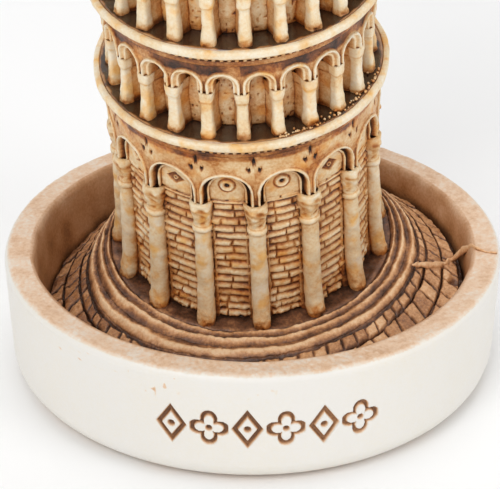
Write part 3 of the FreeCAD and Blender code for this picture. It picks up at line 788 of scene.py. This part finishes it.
def cornice(name, node, axis, tier):
    """A moulded ring: stained band, bead row, dark line and the pale projecting rim."""
    low, top, face, rim, back = tier["low"], tier["top"], tier["face"], tier["rim"], tier["wall"]
    bead_low, bead_high = tier["beads"]
    corners = [(back, low), (face, low), (face, bead_low - 0.12), (face - 0.25, bead_low)]
    corners += [(face + 0.42, bead_low + 0.18), (face + 0.5, bead_high - 0.15), (face + 0.1, bead_high)]
    corners += [(face + 0.1, top - 1.18), (rim - 0.12, top - 1.1), (rim, top - 0.9), (rim, top - 0.32)]
    corners += [(rim - 0.12, top - 0.1), (rim - 0.34, top), (rim - 0.75, top - 0.03)]
    corners += [(rim - 0.95, top - 0.25), (rim - 1.05, top - 0.9), (back, top - 0.95)]
    profile = np.concatenate([dense_profile(corners[:-1], 0.16), corners[-1:]])
    angle, radius, height = lathe(angles(900, 180), profile)
    place = axis.at(face, angle, height)
    drift = 0.8 * flat_noise(np.sin(angle) * 20, np.cos(angle) * 20, 6.0, tier["seed"])
    wave = 0.5 + 0.5 * np.cos(angle * tier["bead_count"] + drift)
    beads = step(bead_low - 0.02, bead_low + 0.12, height)
    beads = beads * (1 - step(bead_high - 0.1, bead_high + 0.02, height))
    gap = beads * (1 - step(0.25, 0.6, wave))
    radius = radius - 0.42 * gap
    rim_part = step(top - 1.15, top - 1.0, height) * step(face + 0.3, face + 0.6, radius)
    radius = radius + rim_part * (0.10 * noise(place, 4.0, tier["seed"] + 1) + 0.05 * noise(place, 1.1, 71))
    height = height + rim_part * 0.06 * noise(place, 1.5, 72)
    stain = 0.56 + 0.16 * noise(place, 2.2, 73)
    stain = np.where(beads > 0.5, 0.3 + 0.4 * gap + 0.1 * noise(place, 1.0, 75), stain)
    line = step(bead_high - 0.05, bead_high + 0.05, height) * (1 - step(top - 1.15, top - 1.05, height))
    stain = stain * (1 - line) + 0.86 * line
    stain = stain * (1 - rim_part) + rim_part * (0.08 + 0.08 * noise(place, 3.0, 74))
    stain = stain + 0.4 * step(rim - 0.7, rim - 0.95, radius) * step(top - 1.0, top - 0.4, height)
    solid = Solid().ring(axis.at(radius, angle, height), stain)
    make_piece(name, solid, tower_paint, [node], rough=((0.5, 0.02),))


def deck(name, node, axis, top, inner, outer):
    """A stained deck plate whose surface pools slightly and bleeds orange at its edge."""
    profile = np.concatenate([
        [(inner, top - DECK_THICK)], dense_profile([(inner, top - 0.2), (outer, top - 0.2)], 0.25),
        [(outer, top - DECK_THICK)],
    ])
    angle, radius, height = lathe(angles(540, 180), profile)
    place = axis.at(radius, angle, height)
    surface = step(top - 0.5, top - 0.3, height)
    height = height + surface * (0.08 * noise(place, 2.2, 81) + 0.03 * noise(place, 0.7, 82))
    rise = step(outer - 0.8, outer, radius)
    height = height + surface * rise * 0.12
    ragged = radius + 0.35 * noise(place, 1.0, 83) + 0.2 * noise(place, 3.0, 84)
    stain = 0.72 + 0.1 * noise(place, 3.0, 85) - 0.62 * step(outer - 0.55, outer - 0.05, ragged)
    solid = Solid().ring(axis.at(radius, angle, height), stain)
    make_piece(name, solid, deck_paint, [node], rough=())


# ---------------- ground storey
GROUND_WALL = 17.4
COURSE = 1.32
GROUND_POSTS = {
    "heights": (-0.6, 0.0, 0.8, 3.0, 8.0, 16.2, 16.5, 16.7, 17.2, 17.5, 17.8, 19.0, 20.3, 20.5, 21.5, 21.7),
    "reach": (
        20.3, 20.25, 20.1, 19.65, 19.3, 18.95, 18.95, 19.2, 19.2, 18.95, 18.85, 19.0, 19.3, 19.35, 19.3, 18.9,
    ),
    "half": (1.2, 1.25, 1.3, 1.2, 1.18, 1.15, 1.15, 1.4, 1.4, 1.2, 1.2, 1.4, 1.6, 1.65, 1.55, 1.3),
    "web": (1.15,) * 16, "square": 0.85, "splay": 1.5,
    "gap": 0.3, "round": 26, "wall": GROUND_WALL, "leaves": (17.6, 21.2), "stain": 0.15, "grit": 4.5,
    "rings": (16.45, 17.5, 20.4), "seed": 3,
}
GROUND_ARCADE = {
    "face": 18.7, "wall": 16.9, "opening": 2.5, "low": 21.6, "spring": 23.7, "high": 30.2,
    "jamb_rows": 8, "side_rows": 16, "top_rows": 34, "field_rows": 26,
    # moulding rows are distance from the opening's edge, radius and colour value; the dark values in the
    # recessed groove are painted shade of the intrados
    "moulding": (
        (0.0, 17.95, 0.35), (0.10, 18.1, 0.15), (0.26, 18.12, 0.12), (0.34, 18.0, 0.45), (0.42, 17.85, 0.66),
        (0.55, 17.85, 0.70), (0.66, 17.95, 0.66), (0.74, 18.4, 0.5), (0.80, 18.8, 0.2), (0.90, 18.98, 0.06),
        (1.06, 19.0, 0.06), (1.16, 18.85, 0.2), (1.22, 18.7, 0.42), (1.30, 18.66, 0.33),
    ),
    "band": 29.4, "band_stain": 0.26, "holes": ((0.0, 29.3, 0.52), (0.75, 27.8, 0.36)), "seed": 5,
}
GROUND_CORNICE = {
    "low": 30.2, "top": GROUND_TOP, "face": 18.75, "rim": 20.15, "wall": 16.9,
    "beads": (30.95, 31.75), "bead_count": 118, "seed": 7,
}


def bricks(arc, height):
    """Relief and stain of an irregular brick wall by distance along it and height."""
    lift = height + 0.16 * flat_noise(arc, height, 2.4, 91) + 0.05 * flat_noise(arc, height, 0.7, 92)
    course = np.floor(lift / COURSE).astype(np.int64)
    rise = lift - course * COURSE
    length = 2.3 + 1.5 * lattice(course, 0 * course, 0 * course, 17)
    shift = 9.0 * lattice(course, 1 + 0 * course, 0 * course, 18)
    run = (arc + shift + 0.12 * flat_noise(arc, height, 0.9, 93)) / length
    brick = np.floor(run).astype(np.int64)
    part = run - brick
    side = np.minimum(part, 1 - part) * length
    shown = lattice(brick, course, 0 * course, 19) > 0.4
    side = np.where(shown, side, 1.0)
    flat = np.minimum(rise, COURSE - rise)
    worn = 0.16 + 0.12 * flat_noise(arc, height, 1.0, 94)
    up = step(0.0, 1.0, np.minimum(flat / (0.28 + worn), 0.25 + side / (0.3 + worn)))
    proud = lattice(brick, course, 1 + 0 * course, 20) - 0.5
    relief = 0.42 * up + 0.26 * proud * up
    deep = 0.5 + 0.5 * flat_noise(arc, height, 1.5, 89)
    stain = 0.46 + 0.22 * deep - (0.34 + 0.2 * deep) * up + 0.16 * (0.5 - proud) * up
    return relief, stain


def ground_wall():
    """The brick drum between the half-columns, finely meshed only where it shows."""
    hidden, shown = 4, 54
    bay = 2 * math.pi / GROUND_BAYS
    cover = bay * 0.12
    part = np.concatenate([np.linspace(0, cover, hidden, endpoint=False),
                           np.linspace(cover, bay - cover, shown, endpoint=False),
                           np.linspace(bay - cover, bay, hidden, endpoint=False)])
    turn = np.concatenate([part + number * bay for number in range(GROUND_BAYS)])
    turn = turn + math.radians(GROUND_PHASE + 168)
    rows = np.concatenate([np.arange(-0.5, 22.6, 0.235), [24.5, 30.0]])
    angle, height = np.meshgrid(turn, rows, indexing="ij")
    arc = (angle - turn[0]) * GROUND_WALL
    relief, stain = bricks(arc, height)
    place = tower.at(GROUND_WALL, angle, height)
    low = 1 - step(0.5, 6.5, height)
    crumble = 0.2 * noise(place, 0.55, 95) + 0.12 * noise(place, 0.3, 96)
    relief = relief + (0.03 + low) * crumble + 0.08 * noise(place, 3.0, 97)
    stain = stain + low * (0.22 * noise(place, 0.5, 98) - 0.02) + 0.06 * noise(place, 2.5, 99)
    stain = stain + 0.15 * (1 - step(0.0, 1.2, height))
    plain = step(22.4, 23.5, height)
    relief = relief * (1 - plain)
    back = [(13.0, 30.0), (13.0, -0.5)]
    angle, radius, height, stain = backed(angle, GROUND_WALL - 0.2 + relief, height, stain, back)
    solid = Solid().ring(tower.at(radius, angle, height), stain)
    make_piece("ground_brickwork", solid, tower_paint, ["ground_core"], rough=((0.3, 0.02),))


def tympanum_relief(x, z, kind):
    """A sunk lozenge or a round eye, above a stained lintel line."""
    lintel = np.exp(-((z - 21.75 - 0.05 * np.sin(x * 3)) / 0.14) ** 2)
    relief, stain = -0.3 * lintel, 0.22 + 0.55 * lintel
    if kind == 0:
        edge = np.abs(x) / 1.5 + np.abs(z - 24.1) / 1.15
        sunk = 1 - step(0.72, 1.0, edge)
        eye = np.hypot(x, z - 24.1)
        boss = 1 - step(0.3, 0.45, eye)
        hole = 1 - step(0.1, 0.2, eye)
        relief = relief - 0.4 * sunk + 0.34 * boss - 0.3 * hole
        return relief, stain + 0.36 * sunk - 0.3 * boss + 0.4 * hole
    eye = np.hypot(x, z - 24.5)
    ring = np.exp(-((eye - 0.72) / 0.2) ** 2)
    hole = 1 - step(0.24, 0.38, eye)
    groove = np.exp(-((eye - 1.1) / 0.13) ** 2)
    return relief + 0.24 * ring - 0.4 * hole - 0.12 * groove, stain - 0.1 * ring + 0.65 * hole + 0.35 * groove


def tympana():
    solid = Solid()
    half, low, high = 2.75, 21.3, 27.0
    x, z = np.meshgrid(np.linspace(-half, half, 62), np.linspace(low, high, 62), indexing="ij")
    for number in range(GROUND_BAYS):
        centre = math.radians(GROUND_PHASE + (number + 0.5) * 360 / GROUND_BAYS)
        relief, stain = tympanum_relief(x, z, (number + 1) % 2)
        place = tower.at(GROUND_WALL, centre + x / GROUND_WALL, z)
        relief = relief + 0.06 * noise(place, 1.2, 101) + 0.03 * noise(place, 0.4, 102)
        front = tower.at(GROUND_WALL + 0.28 + relief, centre + x / GROUND_WALL, z)
        back = tower.at(GROUND_WALL - 0.9, centre + x / GROUND_WALL, z)
        add_slab(solid, front, back, stain + 0.05 * noise(place, 0.9, 103))
    make_piece("ground_tympana", solid, tower_paint, rough=())


def add_slab(solid, front, back, stain):
    """Two matching open grids joined round their edge into a closed plate."""
    rows, columns = front.shape[:2]
    count = rows * columns
    faces = grid_faces(rows, columns, False, False)
    index = np.arange(count).reshape(rows, columns)
    rim = np.concatenate([index[:-1, 0], index[-1, :-1], index[:0:-1, -1], index[0, :0:-1]])
    after = np.roll(rim, -1)
    sides = np.stack([rim, rim + count, after + count, after], -1)
    both = np.concatenate([front.reshape(-1, 3), back.reshape(-1, 3)])
    solid.add(both, [faces, faces[:, ::-1] + count, sides[:, ::-1]], np.tile(stain.reshape(-1), 2))


def ground_storey():
    ground_wall()
    tympana()
    posts("ground_half_columns", "ground_columns", tower, GROUND_POSTS, GROUND_BAYS, GROUND_PHASE)
    arcade("ground_arches", "ground_arcade", tower, GROUND_ARCADE, GROUND_BAYS, GROUND_PHASE)
    cornice("ground_cornice_ring", "ground_cornice", tower, GROUND_CORNICE)
    deck("ground_deck_plate", "ground_deck", tower, GROUND_TOP, 14.0, 19.25)


# ---------------- open galleries
LOGGIA_WALL = 15.4
LOGGIA_POSTS = {
    "heights": (-0.3, 0.1, 1.2, 2.5, 4.9, 5.2, 5.5, 6.3, 6.9, 7.15),
    "reach": (18.6, 18.55, 18.4, 18.25, 18.2, 18.25, 18.35, 18.45, 18.45, 18.4),
    "half": (0.98, 0.95, 0.86, 0.76, 0.72, 0.78, 0.9, 0.98, 1.02, 1.0),
    "web": (0.72, 0.7, 0.65, 0.6, 0.6, 0.6, 0.65, 0.7, 0.75, 0.75), "square": 0.62, "splay": 2.0,
    "gap": 0.25, "round": 26, "wall": LOGGIA_WALL, "leaves": None, "stain": 0.12, "grit": 1.0,
    "rings": (5.45,), "seed": 6,
}
LOGGIA_ARCADE = {
    "face": 18.3, "wall": 15.1, "opening": 1.3, "low": 7.1, "spring": 8.3, "high": 11.6,
    "jamb_rows": 5, "side_rows": 9, "top_rows": 18, "field_rows": 10,
    "moulding": (
        (0.0, 17.85, 0.3), (0.05, 17.95, 0.16), (0.18, 18.0, 0.12), (0.28, 18.02, 0.2), (0.38, 18.02, 0.28),
        (0.46, 18.08, 0.28), (0.52, 18.25, 0.2), (0.58, 18.45, 0.08), (0.72, 18.52, 0.04),
        (0.86, 18.48, 0.08), (0.94, 18.25, 0.3), (1.0, 18.12, 0.36),
    ),
    "band": 9.9, "band_stain": 0.3, "holes": (), "seed": 8,
}
LOGGIA_CORNICE = {
    "low": 11.6, "top": 15.0, "face": 18.25, "rim": 20.05, "wall": 15.1,
    "beads": (12.5, 13.4), "bead_count": 118, "seed": 10,
}


def gallery_wall(name, node, axis, wall, top, seed, inside=3.0):
    """The drum behind the columns, pitted and stained."""
    angle, height = np.meshgrid(angles(620, 180), np.arange(-0.2, top, 0.2), indexing="ij")
    place = axis.at(wall, angle, height)
    relief = 0.10 * noise(place, 1.4, seed) + 0.05 * noise(place, 0.5, seed + 1)
    pits = step(0.5, 0.75, noise(place, 0.36, seed + 2))
    stain = 0.24 + 0.1 * noise(place, 1.8, seed + 3) + 0.3 * pits
    back = [(wall - inside, top - 0.3), (wall - inside, -0.2)]
    angle, radius, height, stain = backed(angle, wall + relief - 0.12 * pits, height, stain, back)
    solid = Solid().ring(axis.at(radius, angle, height), stain)
    make_piece(name, solid, tower_paint, [node], rough=())


def loggia(number):
    axis = tower.raised(GROUND_TOP + (number - 1) * loggia_pitch)
    phase = LOGGIA_PHASES[(number - 1) % len(LOGGIA_PHASES)]
    tag = f"loggia_{number}"
    gallery_wall(f"{tag}_drum", f"{tag}_core", axis, LOGGIA_WALL, 14.0, 110 + number)
    posts(f"{tag}_posts", f"{tag}_columns", axis, LOGGIA_POSTS, LOGGIA_BAYS, phase)
    arcade(f"{tag}_arches", f"{tag}_arcade", axis, LOGGIA_ARCADE, LOGGIA_BAYS, phase)
    cornice(f"{tag}_cornice_ring", f"{tag}_cornice", axis, LOGGIA_CORNICE)
    inner = 14.0 if number < LOGGIAS else 11.0
    deck(f"{tag}_deck_plate", f"{tag}_deck", axis, 15.0, inner, 19.15)


# ---------------- belfry
BELFRY_WALL, BELFRY_TOP = 12.4, 16.0
BELFRY_POSTS = {
    "heights": (-0.3, 0.1, 0.6, 1.1, 6.4, 6.7, 7.0, 7.6, 8.05),
    "reach": (13.6, 13.75, 13.7, 13.5, 13.4, 13.5, 13.55, 13.75, 13.8),
    "half": (0.95, 1.0, 0.95, 0.8, 0.75, 0.85, 0.9, 1.1, 1.1),
    "web": (0.7,) * 9,
    "gap": 0.3, "round": 20, "wall": BELFRY_WALL, "leaves": None, "stain": 0.14, "grit": 1.0,
    "square": 0.8, "splay": 1.4,
    "rings": (6.6,), "seed": 12,
}
BELFRY_ARCADE = {
    "face": 13.5, "wall": 11.9, "opening": 2.1, "low": 8.0, "spring": 9.0, "high": 13.2,
    "jamb_rows": 5, "side_rows": 10, "top_rows": 22, "field_rows": 14,
    # moulding rows are distance from the opening's edge, radius and colour value; the dark values in the
    # recessed groove are painted shade of the intrados
    "moulding": (
        (0.0, 12.95, 0.3), (0.10, 13.1, 0.1), (0.32, 13.1, 0.1), (0.42, 12.95, 0.55), (0.62, 12.95, 0.6),
        (0.72, 13.4, 0.4), (0.80, 13.6, 0.12), (0.95, 13.62, 0.1), (1.05, 13.4, 0.35), (1.15, 13.35, 0.3),
    ),
    "band": 12.4, "band_stain": 0.3, "holes": (), "seed": 14,
}
BELFRY_CORNICE = {
    "low": 13.2, "top": BELFRY_TOP, "face": 13.5, "rim": 14.8, "wall": 11.9,
    "beads": (13.6, 14.5), "bead_count": 72, "seed": 16,
}


def parapet(axis):
    low, high = BELFRY_TOP - 0.1, BELFRY_TOP + 1.8
    profile = dense_profile([
        (11.2, low), (12.4, low), (12.4, high - 0.6), (12.55, high - 0.45), (12.55, high - 0.1), (12.4, high),
        (11.2, high), (11.1, high - 0.2), (11.2, low + 0.05),
    ], 0.2)
    angle, radius, height = lathe(angles(600, 180), profile)
    outside = step(12.2, 12.38, radius) * step(low, low + 0.3, height)
    outside = outside * (1 - step(high - 0.8, high - 0.6, height))
    slot = step(0.5, 0.8, np.cos(angle * 48)) * outside
    stain = 0.14 + 0.55 * slot + 0.05 * noise(axis.at(radius, angle, height), 2.0, 131)
    solid = Solid().ring(axis.at(radius - 0.3 * slot, angle, height), stain)
    make_piece("belfry_parapet_ring", solid, tower_paint, ["belfry_parapet"], rough=((0.5, 0.03),))


def roof(axis):
    top = BELFRY_TOP
    profile = np.array([(1.0, top - 1.0), (13.1, top - 1.0), (13.1, top - 0.1)])
    profile = np.concatenate([profile, dense_profile([(12.9, top), (1.0, top)], 0.5)])
    angle, radius, height = lathe(angles(360), profile, "xy")
    place = axis.at(radius, angle, height)
    up = step(top - 0.3, top - 0.05, height) * (0.1 * noise(place, 2.0, 141))
    solid = Solid().capped(axis.at(radius, angle, height + up), 0.72 + 0.12 * noise(place, 3.0, 142))
    make_piece("belfry_roof_deck", solid, deck_paint, ["belfry_deck"], rough=())


def belfry():
    axis = tower.raised(GROUND_TOP + LOGGIAS * loggia_pitch)
    gallery_wall("belfry_drum", "belfry_core", axis, BELFRY_WALL, 15.0, 121, inside=6.0)
    posts("belfry_half_columns", "belfry_columns", axis, BELFRY_POSTS, BELFRY_BAYS, 0.0)
    arcade("belfry_arches", "belfry_arcade", axis, BELFRY_ARCADE, BELFRY_BAYS, 0.0)
    cornice("belfry_cornice_ring", "belfry_cornice", axis, BELFRY_CORNICE)
    roof(axis)
    parapet(axis)


# ---------------- stage, lights and camera
def plain_material(name, colour, roughness):
    material = bpy.data.materials.new(name)
    material.use_nodes = True
    shader = material.node_tree.nodes["Principled BSDF"]
    shader.inputs["Base Color"].default_value = (*colour, 1)
    shader.inputs["Roughness"].default_value = roughness
    return material


def studio():
    mesh = bpy.data.meshes.new("studio_floor")
    side = 6.0
    corners = [(-side, -side, 0), (side, -side, 0), (side, side, 0), (-side, side, 0)]
    mesh.from_pydata(corners, [], [(0, 1, 2, 3)])
    mesh.materials.append(plain_material("studio_white", (0.93, 0.93, 0.93), 0.9))
    floor = bpy.data.objects.new("studio_floor", mesh)
    bpy.context.scene.collection.objects.link(floor)
    world = bpy.data.worlds.new("studio_world")
    world.use_nodes = True
    world.node_tree.nodes["Background"].inputs["Color"].default_value = (1, 1, 1, 1)
    world.node_tree.nodes["Background"].inputs["Strength"].default_value = 0.62
    bpy.context.scene.world = world
    lights = (
        ("key", (-0.35, -0.75, 0.75), 0.6, 4.0), ("fill", (0.65, -0.45, 0.5), 0.5, 1.6),
        ("top", (0.0, 0.2, 1.0), 0.7, 2.2),
    )
    target = np.array([0, 0, 0.03])
    for name, place, size, power in lights:
        data = bpy.data.lights.new(name, "AREA")
        data.shape = "DISK"
        data.size = size
        data.energy = power
        lamp = bpy.data.objects.new(name, data)
        lamp.location = place
        direction = Vector(target) - Vector(place)
        lamp.rotation_euler = direction.to_track_quat("-Z", "Y").to_euler()
        bpy.context.scene.collection.objects.link(lamp)
    bpy.context.scene.view_settings.view_transform = "Standard"


# distance and height of the aim in dish radii, lens in mm, angles in degrees
CAMERA_DISTANCE, CAMERA_AIM, CAMERA_LENS = 9.0, 0.45, 159.55
CAMERA_ELEVATION, CAMERA_PITCH, CAMERA_ROLL = 30.453, 30.239, 0.139


def camera():
    """A view from above the front, looking down on the dish."""
    distance = CAMERA_DISTANCE * dish_radius * MM
    elevation, pitch, roll = (math.radians(item) for item in (CAMERA_ELEVATION, CAMERA_PITCH, CAMERA_ROLL))
    target = np.array([0, 0, CAMERA_AIM * dish_radius * MM])
    place = target + distance * np.array([0, -math.cos(elevation), math.sin(elevation)])
    data = bpy.data.cameras.new("camera")
    data.sensor_width = 36.0
    data.lens = CAMERA_LENS
    data.clip_start, data.clip_end = 0.01, 20.0
    view = bpy.data.objects.new("camera", data)
    view.location = place
    view.rotation_euler = (math.pi / 2 - pitch, roll, 0)
    bpy.context.scene.collection.objects.link(view)
    bpy.context.scene.camera = view


pad()
dish()
plinth()
terraces()
casting_flash()
deck_crumbs()
ground_storey()
for number in range(1, LOGGIAS + 1):
    loggia(number)
belfry()
studio()
camera()
